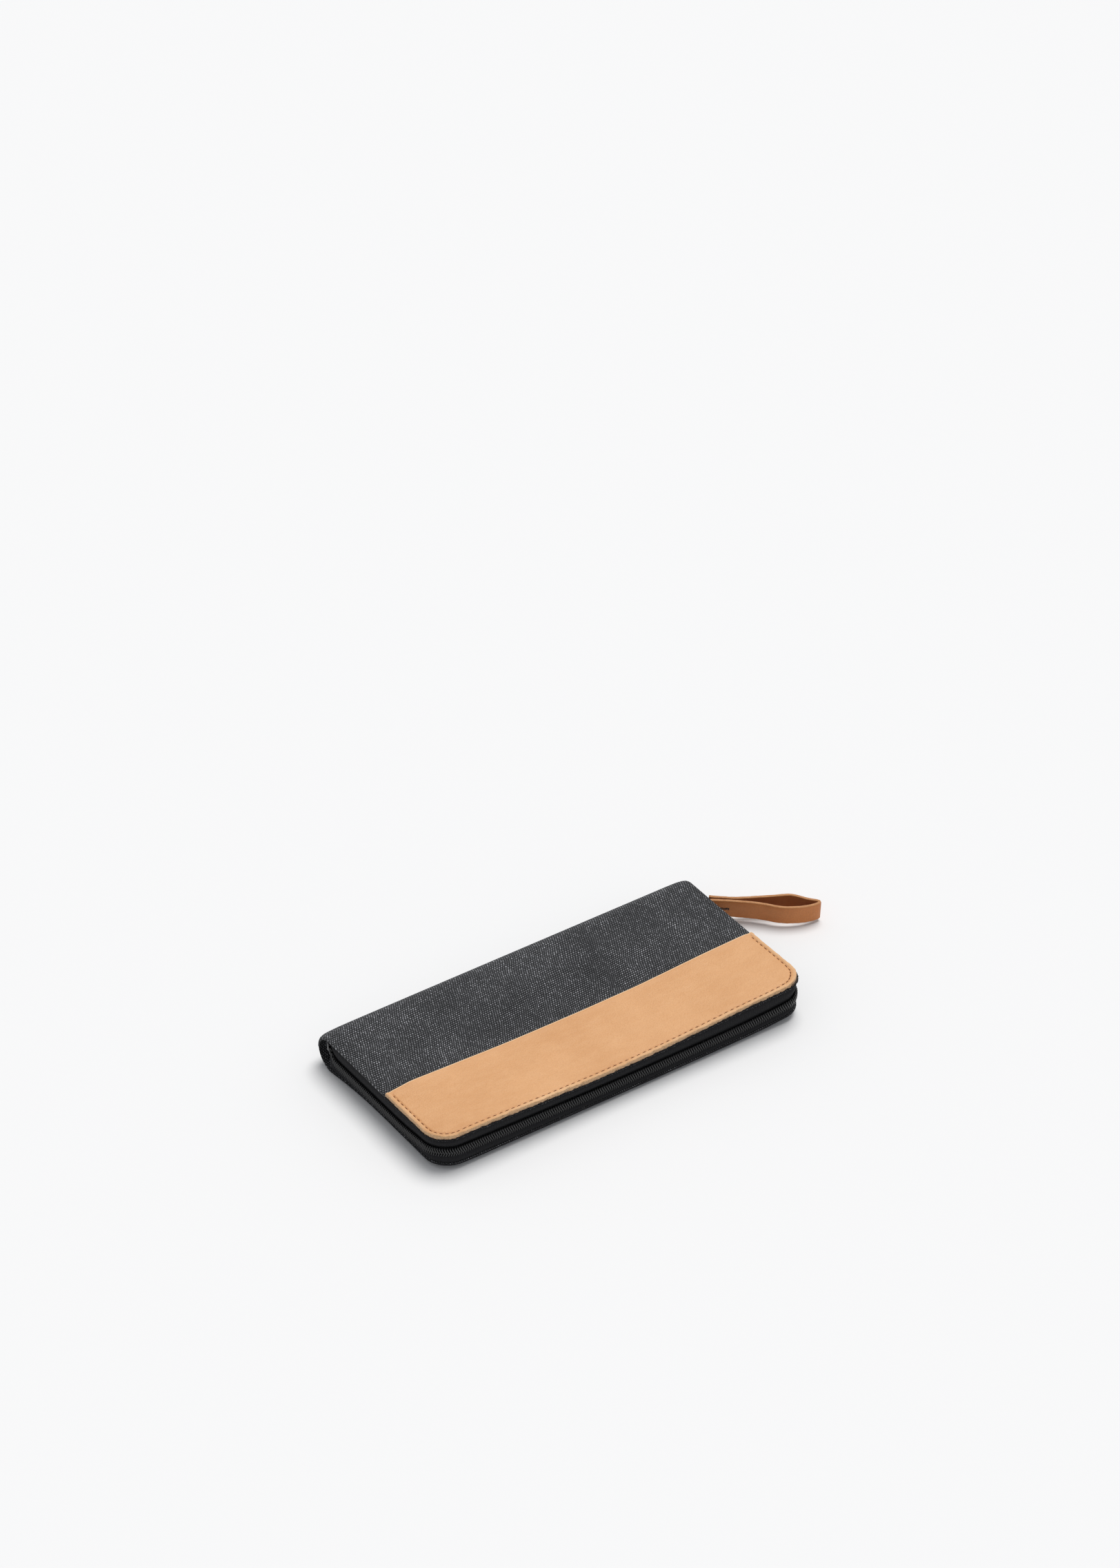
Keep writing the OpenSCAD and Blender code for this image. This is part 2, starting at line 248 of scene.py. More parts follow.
# Darker, redder tan, smooth on its grain side.
strapSkin = dict(dark="#ba6c32", light="#d08346", streak="#d08b52", deep="#96552b", poreScale=1.3,
                 grainScale=1.2, rough=0.5, relief=0.05)
strapLeather = makeLeather("strapBridleLeather", strapSkin)
rimSuede = makeSuede("roughCutLeatherEdge", "#c08a58", "#f0cda2", 0.4)  # pale torn fibres
strapEdge = makeSuede("strapCutEdge", "#a8693c", "#dba877")  # tan fibres with pale tips
fleshSuede = makeSuede("fleshSideSuede", "#80441f", "#bd7238")  # red-brown nap inside the loop
boardGrey = makeSuede("greyBoard", "#8a7a5e", "#a39373", 0.04)  # dull pressed fibre
frayCloth = makeSuede("rawCanvasEdge", "#030303", "#37373a", 0.5, 0.0)  # black, with grey thread ends
holeDark = makeSuede("needleHole", "#33190b", "#4a2711", 0.05, 0.0)  # shaded leather in a hole
# Black tape with faint grey ribs.
tapeRib = dict(pitch=0.62, pick=0.5, dark="#111112", light="#2c2c2f", relief=0.04)
tapeCloth = makeRibbed("polyesterZipTape", tapeRib)
coilNylon = makePlain("nylonCoil", "#1b1b1c", 0.24, ior=1.53, grain=0.2)  # black, with a satin gleam
sliderEnamel = makePlain("blackEnamelZinc", "#1a1a1b", 0.32, ior=1.5, grain=0.15)  # hard black paint
brownThread = makePlain("brownPolyesterThread", "#75401d", 0.7, grain=0.3, relief=0.05)  # matte brown
darkThread = makePlain("blackPolyesterThread", "#161617", 0.7, grain=0.3, relief=0.05, sheen=0.2)  # matte
frayCotton = makePlain("frayedCottonEnd", "#77777b", 0.9, grain=0.6, sheen=0.3)  # pale loose thread ends
frayDark = makePlain("frayedDarkEnd", "#1a1a1b", 0.9, grain=0.6, sheen=0.3)  # dark loose thread ends
print("materials made")


def ease(t):
    t = max(0.0, min(1.0, t))
    return t * t * (3 - 2 * t)


def through(knots, x):
    # Value at x of a smooth line through (x, value) knots.
    if x <= knots[0][0]:
        return knots[0][1]
    for i in range(len(knots) - 1):
        x0, y0 = knots[i]
        x1, y1 = knots[i + 1]
        if x <= x1:
            before = knots[max(i - 1, 0)]
            after = knots[min(i + 2, len(knots) - 1)]
            slope0 = (y1 - before[1]) / (x1 - before[0])
            slope1 = (after[1] - y0) / (after[0] - x0)
            t, w = (x - x0) / (x1 - x0), x1 - x0
            return ((2 * t**3 - 3 * t**2 + 1) * y0 + (t**3 - 2 * t**2 + t) * w * slope0
                    + (3 * t**2 - 2 * t**3) * y1 + (t**3 - t**2) * w * slope1)
    return knots[-1][1]


# Rise and fall of the front cover, mm: it sags between its raised corners.
coverLines = dict(
    front=[(-98, -0.6), (-83, 0.0), (-69, -0.35), (-40, -1.4), (-10, -2.2), (20, -1.8), (45, -0.7),
           (60, 0.2), (80, 0.9), (90, 1.4), (98, 1.5)],
    middle=[(-98, -0.7), (-94, -0.45), (-90, -0.05), (-85, 0.4), (-78, 0.2), (-70, -0.15), (-57, -0.65),
            (-45, -1.15), (-32, -1.55), (-6, -1.8), (6, -1.85), (20, -1.7), (33, -1.55), (46, -1.0),
            (59, -0.3), (72, 0.35), (85, 0.75), (93, 0.9), (98, 0.7)],
    spine=[(-98, -0.3), (-92, 0.6), (-84, 1.0), (84, 1.1), (92, 1.0), (98, 0.6)],
    middleY=-6.8, spineY=26.0)
# Height of the chain's middle over its height at the slider, along the wall.
chainLine = [(-2, 6.3), (0, 6.0), (1.9, 3.6), (3.2, 1.2), (5, 0.2), (8, 0.0), (52, 0.0), (59, 0.15),
             (69, 1.0), (84, 2.3), (97, 2.0), (111, 1.6), (140, 0.8), (170, 0.2), (200, 0.0), (240, 0.15),
             (258, 0.9), (270, 1.8), (278, 2.5), (283, 2.4), (288, 1.2), (293, 0.3), (300, 0.0), (362, 0.0)]
# How far the edge of the back cover stands off the table, along the wall.
rearLine = [(-12, 0.2), (0, 0.5), (12, 1.3), (30, 1.8), (60, 1.7), (84, 2.5), (97, 2.2), (140, 1.9),
            (200, 1.6), (250, 1.9), (266, 2.8), (276, 3.9), (282, 3.9), (288, 2.2), (294, 0.7), (302, 0.4),
            (372, 0.4)]
# How far the edge of the back cover is tucked in under the chain.
tuckLine = [(-12, 0.3), (0, 0.4), (14, 1.1), (30, 1.6), (60, 1.6), (84, 0.8), (100, 0.3), (260, 0.3),
            (372, 0.2)]

# Runs along the zip wall, from its left spine end: left side, left corner, front, right corner, right side.
leftRun = shell["spineY"] - shell["front"] - shell["leftR"]
leftTurn = leftRun + shell["leftR"] * math.pi / 2
frontRun = leftTurn + 2 * shell["half"] - shell["leftR"] - shell["rightR"]
rightTurn = frontRun + shell["rightR"] * math.pi / 2
wallLength = rightTurn + shell["spineY"] - shell["front"] - shell["rightR"]


def wallSpot(s, inset):
    # Plan position on the zip wall, s mm from its left spine end and inset mm inside the outline.
    half, front = shell["half"], shell["front"]
    if s <= leftRun:
        return -half + inset, shell["spineY"] - s
    if s <= leftTurn:
        a = math.pi + (s - leftRun) / shell["leftR"]
        r = shell["leftR"] - inset
        return -half + shell["leftR"] + r * math.cos(a), front + shell["leftR"] + r * math.sin(a)
    if s <= frontRun:
        return -half + shell["leftR"] + s - leftTurn, front + inset
    if s <= rightTurn:
        a = 1.5 * math.pi + (s - frontRun) / shell["rightR"]
        r = shell["rightR"] - inset
        return half - shell["rightR"] + r * math.cos(a), front + shell["rightR"] + r * math.sin(a)
    return half - inset, front + shell["rightR"] + s - rightTurn


def wallPlace(x, y):
    # The reverse of wallSpot: (s, inset) of a plan position, by its nearest side or corner.
    half, front = shell["half"], shell["front"]
    cornerY = front + (shell["leftR"] if x < 0 else shell["rightR"])
    cornerX = -half + shell["leftR"] if x < 0 else half - shell["rightR"]
    if y < cornerY and abs(x) > abs(cornerX):
        dx, dy = x - cornerX, y - cornerY
        r = math.hypot(dx, dy)
        if x < 0:
            return leftRun + shell["leftR"] * (math.atan2(-dy, -dx)), shell["leftR"] - r
        return frontRun + shell["rightR"] * (math.pi / 2 - math.atan2(-dy, dx)), shell["rightR"] - r
    toSide, toFront = half - abs(x), y - front
    if toSide < toFront:
        return (shell["spineY"] - y, toSide) if x < 0 else (rightTurn + y - cornerY, toSide)
    return leftTurn + x + half - shell["leftR"], toFront


def coverShift(x, y):
    # Height of the front cover over its flat place.
    front, middle, spine = (through(coverLines[k], x) for k in ("front", "middle", "spine"))
    if y < coverLines["middleY"]:
        w = ease((y - shell["front"]) / (coverLines["middleY"] - shell["front"]))
        return front + (middle - front) * w
    w = ease((y - coverLines["middleY"]) / (coverLines["spineY"] - coverLines["middleY"]))
    return middle + (spine - middle) * w


def rearShift(x, y):
    # (dx, dy, dz) of the back cover near its tucked and lifted edge.
    s, inset = wallPlace(x, min(y, shell["spineY"]))
    near = 1 - ease(inset / 15)
    if near <= 0:
        return 0.0, 0.0, 0.0
    ax, ay = wallSpot(s, 0.0)
    bx, by = wallSpot(s, 1.0)
    tuck = through(tuckLine, s) * near
    return (bx - ax) * tuck, (by - ay) * tuck, through(rearLine, s) * near * near


spineSwell = 1.0  # how far the spine bulges past its round


def spineEnd(x):
    # Share left of the spine's fullness near its rounded ends.
    over = max(0.0, abs(x) - (shell["half"] - 4.0)) / 4.0
    return 1 - (0.24 if x < 0 else 0.14) * (1 - math.sqrt(max(0.0, 1 - min(1.0, over) ** 2)))


def onFront(v):
    # Front cover: flat sheet coordinates to the sagging cover and down round half of the spine.
    x, y, z = v
    if y <= shell["spineY"]:
        return Vector((x, y, z + coverShift(x, y)))
    a = min((y - shell["spineY"]) / shell["spineR"], math.pi / 2)
    r = shell["spineR"] - (shell["canvasTop"] - z)
    out = (r + spineSwell * ease(a / 0.8)) * spineEnd(x)
    fall = coverShift(x, shell["spineY"]) * math.cos(a)
    return Vector((x, shell["spineY"] + out * math.sin(a), shell["spineR"] + r * math.cos(a) + fall))


def onFrontEdge(v):
    # The canvas under the leather curls down at its raw edge.
    x, y, z = v
    inset = wallPlace(x, y)[1]
    curl = 0.4 * (1 - ease(inset / 1.0)) * ease((panel["back"] - y) / 4) if y < panel["back"] else 0
    return onFront((x, y, z - curl))


def onRear(v):
    # Back cover: flat sheet coordinates to the lifted edge and up round the other half of the spine.
    x, y, z = v
    if y <= shell["spineY"]:
        dx, dy, dz = rearShift(x, y)
        return Vector((x + dx, y + dy, z + dz))
    a = min((y - shell["spineY"]) / shell["spineR"], math.pi / 2)
    r = shell["spineR"] - z
    out = (r + spineSwell * ease(a / 1.2)) * spineEnd(x)
    dx, dy, dz = rearShift(x, shell["spineY"])
    return Vector((x + dx * math.cos(a), shell["spineY"] + out * math.sin(a),
                   shell["spineR"] - r * math.cos(a) + dz * math.cos(a)))


def onWall(v):
    # Wall pieces: (s, inset, z) to the zip wall, bent with the covers and the chain.
    s, inset, z = v
    x, y = wallSpot(s, inset)
    lift = through(chainLine, s)
    if z > chain["z"] + chain["half"]:
        w = min(1.2, (z - chain["z"] - chain["half"]) / (chain["tapeTop"] - chain["z"] - chain["half"]))
        top = coverShift(max(-shell["half"], min(shell["half"], x)), min(y, shell["spineY"]))
        dz = lift + (top - lift) * w
    elif z < chain["z"] - chain["half"]:
        w = min(1.2, (chain["z"] - chain["half"] - z) / (chain["z"] - chain["half"] - chain["tapeLow"]))
        dz = lift + (through(rearLine, s) - lift) * w
        ax, ay = wallSpot(s, 0.0)
        bx, by = wallSpot(s, 1.0)
        tuck = through(tuckLine, s) * w
        x, y = x + (bx - ax) * tuck, y + (by - ay) * tuck
    else:
        dz = lift
    return Vector((x, y, z + dz))


def markCut(bm):
    # Keeps each point's place before bending, in mm, for the patterns.
    layer = bm.verts.layers.float_vector.get("cut") or bm.verts.layers.float_vector.new("cut")
    for v in bm.verts:
        v[layer] = v.co.copy()


def bendAll(bm, rule):
    for v in bm.verts:
        v.co = rule(v.co)


def finishPiece(bm, name, materials, body=None, nodes=()):
    # Turns the piece to metres and gives it its materials, body and replaced nodes.
    if bm.verts.layers.float_vector.get("cut") is None:
        markCut(bm)
    bmesh.ops.scale(bm, vec=(mm, mm, mm), verts=bm.verts)
    bmesh.ops.recalc_face_normals(bm, faces=bm.faces)
    mesh = bpy.data.meshes.new(name)
    bm.to_mesh(mesh)
    bm.free()
    for polygon in mesh.polygons:
        polygon.use_smooth = True
    piece = bpy.data.objects.new(name, mesh)
    bpy.context.scene.collection.objects.link(piece)
    for material in materials:
        mesh.materials.append(material)
    if body:
        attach(piece, body)
    if nodes:
        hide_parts(*nodes)
    return piece


def blank(x0, x1, y0, y1, z, leftR=0.0, rightR=0.0):
    # A flat blank with its two front corners rounded.
    bm = bmesh.new()
    bmesh.ops.create_grid(bm, x_segments=1, y_segments=1, size=0.5)
    bmesh.ops.scale(bm, vec=(x1 - x0, y1 - y0, 1), verts=bm.verts)
    bmesh.ops.translate(bm, vec=((x0 + x1) / 2, (y0 + y1) / 2, z), verts=bm.verts)
    for side, radius in ((-1, leftR), (1, rightR)):
        if radius > 0:
            end = x0 if side < 0 else x1
            corner = [v for v in bm.verts if abs(v.co.y - y0) < 1e-4 and abs(v.co.x - end) < 1e-4]
            bmesh.ops.bevel(bm, geom=corner, offset=radius, segments=14, profile=0.5, affect="VERTICES",
                            material=-1)
    return bm


def thicken(bm, thickness, rim=0.0, rings=()):
    # Raises the blank to a slab; rings are insets of its top that later carry grooves and folds.
    base = list(bm.faces)
    made = bmesh.ops.extrude_face_region(bm, geom=base)
    top = [f for f in made["geom"] if isinstance(f, bmesh.types.BMFace)]
    bmesh.ops.translate(bm, vec=(0, 0, thickness), verts=list({v for f in top for v in f.verts}))
    height = max(v.co.z for v in bm.verts)
    if rim > 0:
        edges = [e for e in bm.edges if all(abs(v.co.z - height) < 1e-5 for v in e.verts)]
        bmesh.ops.bevel(bm, geom=edges, offset=rim, segments=3, profile=0.5, affect="EDGES", material=-1)
    for step in rings:
        wide = [f for f in bm.faces if f.normal.z > 0.99 or len(f.verts) > 20]
        face = max(wide, key=lambda f: f.calc_area() + f.calc_center_median().z * 1e3)
        bmesh.ops.inset_region(bm, faces=[face], thickness=step, use_even_offset=True, use_boundary=True)
    return bm


def cutAcross(bm, axis, places):
    # Cuts the whole piece by a plane across the axis at each place.
    for place in places:
        co, no = [0, 0, 0], [0, 0, 0]
        co[axis], no[axis] = place, 1
        everything = bm.verts[:] + bm.edges[:] + bm.faces[:]
        bmesh.ops.bisect_plane(bm, geom=everything, plane_co=co, plane_no=no, dist=1e-5)


def spread(low, high, gap):
    # Even places between low and high, about one gap apart, without the two ends.
    count = max(1, round((high - low) / gap))
    return [low + (high - low) * i / count for i in range(1, count)]


def newRing(made):
    # The points that an extrusion or a copy made, and the edges among them.
    ring = [g for g in made["geom"] if isinstance(g, bmesh.types.BMVert)]
    edges = [g for g in made["geom"] if isinstance(g, bmesh.types.BMEdge) and all(v in ring for v in g.verts)]
    return ring, edges


def bent(bm, rule):
    markCut(bm)
    bendAll(bm, rule)
    return bm


canvas = dict(thick=0.9, edge=0.22, arc=shell["spineR"] * math.pi / 2)
half, front = shell["half"], shell["front"]
foldEnd = shell["spineY"] + canvas["arc"]
foldSteps = [shell["spineY"] + canvas["arc"] * i / 16 for i in range(16)]


def canvasCover(z, rule):
    # One cover and half of the spine; its raw edges are dark.
    bm = thicken(blank(-half, half, front, foldEnd, z, shell["leftR"], shell["rightR"]),
                 canvas["thick"], canvas["edge"])
    bm.normal_update()
    cutAcross(bm, 0, sorted(spread(-half, half, 5.0) + [-97, -95.5, -94, 94, 95.5, 97]))
    cutAcross(bm, 1, sorted(spread(front, shell["spineY"], 4.0) + foldSteps))
    for f in bm.faces:
        y = f.calc_center_median().y
        rawTo = shell["spineY"] if z < chain["z"] else panel["back"]
        f.material_index = 1 if abs(f.normal.z) < 0.5 and y < rawTo else 0
    return bent(bm, rule)


coverFront = finishPiece(canvasCover(shell["canvasTop"] - canvas["thick"], onFrontEdge), "coverFront",
                         [canvasCloth, frayCloth])
coverRear = finishPiece(canvasCover(0.0, onRear), "coverRear", [canvasCloth, frayCloth])
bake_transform(coverFront)
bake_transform(coverRear)
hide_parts("front_canvas", "spine_canvas")
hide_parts("rear_canvas")
print("canvas cover made")


def cornerPull(s):
    # The seam runs wider round the right front corner than the cut edge does.
    return panel["pull"] * math.exp(-(((s - (frontRun + rightTurn) / 2) / 8) ** 2))


def panelShape(v):
    # Rim swells outside the seam, the seam lies in a groove, and the back edge is turned over softly.
    x, y, z = v
    s, inset = wallPlace(x, y)
    top = (z - shell["canvasTop"]) / panel["thick"]
    d = inset - panel["inset"]
    dz = -panel["groove"] * math.exp(-((d - cornerPull(s) - panel["seam"]) / panel["grooveWidth"]) ** 2)
    dz += 0.25 * math.exp(-((d - 1.0) / 0.5) ** 2)
    dz += 0.1 * noise.noise(Vector((x * 0.35, y * 0.35, 2.0))) * (1 - ease(d / 3))
    fromBack = panel["back"] - y
    dz += 0.22 * math.exp(-((fromBack - 1.6) / 1.3) ** 2)
    co = Vector((x, y, z + dz * max(0.0, top) - 0.3 * (1 - top) * (1 - ease(d / 1.2))))
    if d < 0.4:
        worn = 0.45 + 0.55 * ease((s - leftRun) / 12) * ease((rightTurn - s) / 12)
        wobble = 0.4 * noise.noise(Vector((x * 0.5, y * 0.5, z)))
        wobble += 0.3 * noise.noise(Vector((x * 1.3, y * 1.3, z * 2)))
        wobble *= worn
        co.z += 0.5 * worn * (1 - top) * noise.noise(Vector((x * 1.1, y * 1.1, 7.0)))
        ax, ay = wallSpot(s, 0.0)
        bx, by = wallSpot(s, 1.0)
        co.x += (bx - ax) * wobble
        co.y += (by - ay) * wobble
    return onFront(co)


bm = thicken(blank(-half + panel["inset"], half - panel["inset"], front + panel["inset"], panel["back"],
                   shell["canvasTop"], shell["leftR"] - panel["inset"], panel["rightR"]),
             panel["thick"], 0.35, rings=(0.45, 0.5, 0.5, 0.35, 0.3, 0.3, 0.35, 0.5, 0.8, 1.6))
cutAcross(bm, 0, spread(-half, half, 0.9))
cutAcross(bm, 1, spread(front, panel["back"], 1.6))
markCut(bm)
bm.normal_update()
for f in bm.faces:
    centre = f.calc_center_median()
    outside = wallPlace(centre.x, centre.y)[1] - panel["inset"]
    if abs(f.normal.z) < 0.9 and centre.y < panel["back"] - 0.3:
        f.material_index = 1
    elif f.normal.z > 0 and outside < panel["seam"] - 0.45 and centre.y < panel["back"] - 0.5:
        f.material_index = 2
bendAll(bm, panelShape)
leatherPanel = finishPiece(bm, "leatherPanel", [panelLeather, rimSuede, rimLeather],
                           "front_shell", ["leather_panel"])
print("leather panel made")


def wallStrip(profile, s0, s1, gap, rule=onWall):
    # A band with the given (inset, z) profile, drawn along the wall and bent round it.
    bm = bmesh.new()
    ring = bmesh.ops.create_circle(bm, cap_ends=True, segments=len(profile), radius=1.0)["verts"]
    for vert, (inset, z) in zip(ring, profile):
        vert.co = (s0, inset, z)
    edges = bm.edges[:]
    count = round((s1 - s0) / gap)
    for i in range(count):
        made = bmesh.ops.extrude_edge_only(bm, edges=edges)
        ring, edges = newRing(made)
        bmesh.ops.translate(bm, vec=((s1 - s0) / count, 0, 0), verts=ring)
    bmesh.ops.holes_fill(bm, edges=edges, sides=0)
    return bent(bm, rule)


upperProfile = [(1.7, 8.4), (1.6, 9.9), (1.25, 10.6), (0.75, 12.0), (0.5, 13.8), (0.75, 15.4), (1.3, 16.6),
                (1.9, 17.3), (2.6, 17.1), (1.95, 16.4), (1.4, 15.3), (1.15, 13.8), (1.4, 12.0), (1.9, 10.6),
                (2.25, 9.9), (2.3, 8.4)]
lowerProfile = [(1.3, 0.95), (0.6, 1.3), (0.3, 2.2), (0.4, 3.3), (1.0, 4.6), (1.4, 6.6),
                (2.0, 6.6), (1.65, 4.7), (1.05, 3.6), (0.95, 2.4), (1.2, 1.6), (1.8, 1.0)]
tapeRun = (0.4, wallLength + 2.4)
upperTape = finishPiece(wallStrip(upperProfile, *tapeRun, 1.5), "upperTape", [tapeCloth],
                        "front_shell", ["upper_tape"])
lowerTape = finishPiece(wallStrip(lowerProfile, *tapeRun, 1.5), "lowerTape", [tapeCloth],
                        "rear_shell", ["lower_tape"])
print("zip tapes made")


# Front leg, head and slant are for the upper coil and then the lower one.
coil = dict(front=(0.12, 0.42), back=1.15, outer=2.05, head=(-0.75, -0.1), slant=(1.0, 0.6), sides=6,
            turnSteps=4)


def coilTurn(direction):
    # One turn of the flattened spiral; direction is 1 for the upper coil and -1 for the lower one.
    row = 0 if direction > 0 else 1
    leg, head, slant = coil["front"][row], coil["head"][row], coil["slant"][row]
    radius, middle = (coil["back"] - leg) / 2, (coil["back"] + leg) / 2
    path, count = [], coil["turnSteps"]
    for i in range(count + 1):
        a = math.pi * i / count
        path.append((middle + radius * math.cos(a), coil["outer"] - 0.3 + 0.42 * math.sin(a)))
    path.append((leg, (coil["outer"] + head) / 2))
    for i in range(count + 1):
        a = math.pi * i / count
        path.append((middle - radius * math.cos(a), head + 0.3 - 0.5 * math.sin(a)))
    path.append((coil["back"], (coil["outer"] + head) / 2))
    closed = path + [path[0]]
    # The front leg leans forward by the slant; the bends and the back leg bring it to one pitch.
    rise = []
    for i in range(len(closed)):
        if i <= count:
            rise.append(-0.15 * i / count)
        elif i <= count + 2:
            rise.append(slant * (i - count) / 2 - 0.15)
        else:
            part = (i - count - 2) / (len(closed) - count - 3)
            rise.append(slant - 0.15 + (chain["pitch"] - slant + 0.15) * part)
    return [Vector((r, p[0], chain["z"] + direction * p[1])) for r, p in zip(rise, closed)]


def coilPiece(direction, shift, s0, s1):
    # One turn of wire, swept and then repeated along the wall.
    bm = bmesh.new()
    path = coilTurn(direction)
    ring = bmesh.ops.create_circle(bm, segments=coil["sides"], radius=chain["wire"])["verts"]
    step = Vector((chain["pitch"], 0, 0))
    looped = [path[-2] - step] + path + [path[1] + step]
    along = [(looped[i + 2] - looped[i]).normalized() for i in range(len(path))]
    edges = bm.edges[:]
    last = Matrix.Identity(4)
    for i, point in enumerate(path):
        up = along[i].cross(Vector((1, 0, 0))).normalized()
        right = up.cross(along[i]).normalized()
        place = Matrix.Translation(point) @ Matrix((right, up, along[i])).transposed().to_4x4()
        if i:
            ring, edges = newRing(bmesh.ops.extrude_edge_only(bm, edges=edges))
        bmesh.ops.transform(bm, matrix=place @ last.inverted(), verts=ring)
        last = place
    unit = bm.verts[:] + bm.edges[:] + bm.faces[:]
    turns = int((s1 - s0) / chain["pitch"])
    bmesh.ops.translate(bm, vec=(s0 + shift, 0, 0), verts=bm.verts)
    for k in range(1, turns):
        made = bmesh.ops.duplicate(bm, geom=unit)
        copied = [g for g in made["geom"] if isinstance(g, bmesh.types.BMVert)]
        bmesh.ops.translate(bm, vec=(k * chain["pitch"], 0, 0), verts=copied)
    bmesh.ops.remove_doubles(bm, verts=bm.verts, dist=0.01)
    bmesh.ops.holes_fill(bm, edges=[e for e in bm.edges if e.is_boundary], sides=0)
    return bent(bm, onWall)


upperCoil = finishPiece(coilPiece(1, 0.0, 0.4, wallLength - 7.0), "upperCoil", [coilNylon],
                        "front_shell", ["upper_coil"])
lowerCoil = finishPiece(coilPiece(-1, chain["pitch"] / 2, 0.4, wallLength - 4.0), "lowerCoil",
                        [coilNylon], "rear_shell", ["lower_coil"])
print("coils made")


def heading(s):
    # Direction of the wall in plan at s, in radians.
    ax, ay = wallSpot(s - 0.4, 1.0)
    bx, by = wallSpot(s + 0.4, 1.0)
    return math.atan2(by - ay, bx - ax)


def stitchPiece(name, spots, size, rule, materials, body, nodes, holes=0.0):
    # Short rounded stitches, one per spot (x, y, z, heading); holes sets the size of flat dark discs at both
    # ends of each one, painted shade where the stitch sinks into its hole.
    bm = bmesh.new()
    rng = random.Random(len(spots))
    for x, y, z, turn in spots:
        turn += rng.uniform(-0.05, 0.05)
        place = Matrix.Translation((x, y, z)) @ Matrix.Rotation(turn, 4, "Z")
        length = size[0] * rng.uniform(0.92, 1.06)
        bmesh.ops.create_icosphere(bm, subdivisions=1, radius=0.5,
                                   matrix=place @ Matrix.Diagonal((length, size[1], size[2], 1)))
        if holes:
            done = len(bm.faces)
            for end in (-1, 1):
                hole = Matrix.Translation((end * (length / 2 + 0.05), 0, 0.02))
                hole = hole @ Matrix.Diagonal((holes, holes, 0.12, 1))
                bmesh.ops.create_icosphere(bm, subdivisions=1, radius=0.5, matrix=place @ hole)
            bm.faces.ensure_lookup_table()
            for i in range(done, len(bm.faces)):
                bm.faces[i].material_index = 1
    return finishPiece(bent(bm, rule), name, materials, body, nodes)


seam = dict(pitch=3.15, size=(1.5, 0.7, 0.6), inset=panel["inset"] + panel["seam"], z=19.16, hole=0.55)
first = shell["spineY"] - panel["back"] + 0.7
last = wallLength - first
count = round((last - first) / seam["pitch"])
spots = []
for i in range(count + 1):
    s = first + (last - first) * i / count
    spots.append((*wallSpot(s, seam["inset"] + cornerPull(s)), seam["z"], heading(s)))
leatherStitches = stitchPiece("leatherStitches", spots, seam["size"], onFront, [brownThread, holeDark],
                              "front_shell", ["leather_topstitch"], seam["hole"])

darkSeam = dict(gap=3.0, size=(1.9, 0.42, 0.2), sideX=95.5, sideTo=40, sideZ=18.22, rearInset=2.4, rearZ=0.03)
sideRows = spread(panel["back"] + 1, darkSeam["sideTo"], darkSeam["gap"])
spots = [(side * darkSeam["sideX"], y, darkSeam["sideZ"], math.pi / 2) for side in (-1, 1) for y in sideRows]
sideStitches = stitchPiece("sideStitches", spots, darkSeam["size"], onFront, [darkThread],
                           "front_shell", ["front_topstitch"])
spots = []
for s in spread(0.5, wallLength - 0.5, darkSeam["gap"]):
    spots.append((*wallSpot(s, darkSeam["rearInset"]), darkSeam["rearZ"], heading(s)))
rearStitches = stitchPiece("rearStitches", spots, darkSeam["size"], onRear, [darkThread],
                           "rear_shell", ["rear_topstitch"])

# Raw canvas edge under the leather, its lower side worn ragged.
fray = dict(low=17.0, ragged=0.6, s0=45.5, s1=wallLength - 45.5)


def onFray(v):
    # Only the lower side of the band is ragged.
    s, inset, z = v
    if z < 17.4:
        z += fray["ragged"] * noise.noise(Vector((s * 1.3, 3.0, 0.0)))
        z += 0.25 * noise.noise(Vector((s * 4.1, 8.0, 0.0)))
    return onWall((s, inset + 0.3 * noise.noise(Vector((s * 2.1, z, 1.0))), z))


frayProfile = [(0.3, 18.1), (-0.1, 18.0), (-0.25, 17.5), (-0.15, fray["low"]), (0.3, fray["low"] - 0.15),
               (0.55, 17.0), (0.6, 17.8)]
frayBand = finishPiece(wallStrip(frayProfile, fray["s0"], fray["s1"], 0.5, onFray), "frayBand",
                       [frayCloth], "front_shell")


def fibrePiece(name, tuft, materials, body):
    # Loose thread ends, mostly pointing out and down; every third one has the second material.
    bm = bmesh.new()
    rng = random.Random(tuft["count"])
    for i in range(tuft["count"]):
        s = tuft["s0"] + (tuft["s1"] - tuft["s0"]) * (i + rng.random()) / tuft["count"]
        along, out = rng.gauss(0, 0.55), abs(rng.gauss(tuft["out"], 0.35))
        direction = Vector((along, -out, tuft["up"] + rng.gauss(0, 0.45))).normalized()
        size = tuft["length"] * rng.uniform(0.4, 1.25)
        start = Vector((s, tuft["inset"], tuft["z"] + rng.uniform(-0.25, 0.25)))
        turn = direction.to_track_quat("Z", "Y").to_matrix().to_4x4()
        place = Matrix.Translation(start + direction * size / 2) @ turn
        bmesh.ops.create_cone(bm, segments=3, cap_ends=True, radius1=tuft["width"],
                              radius2=tuft["width"] * 0.35, depth=size, matrix=place)
        if i % 3 == 0:
            bm.faces.ensure_lookup_table()
            for face in bm.faces[-5:]:
                face.material_index = 1
    return finishPiece(bent(bm, onWall), name, materials, body)


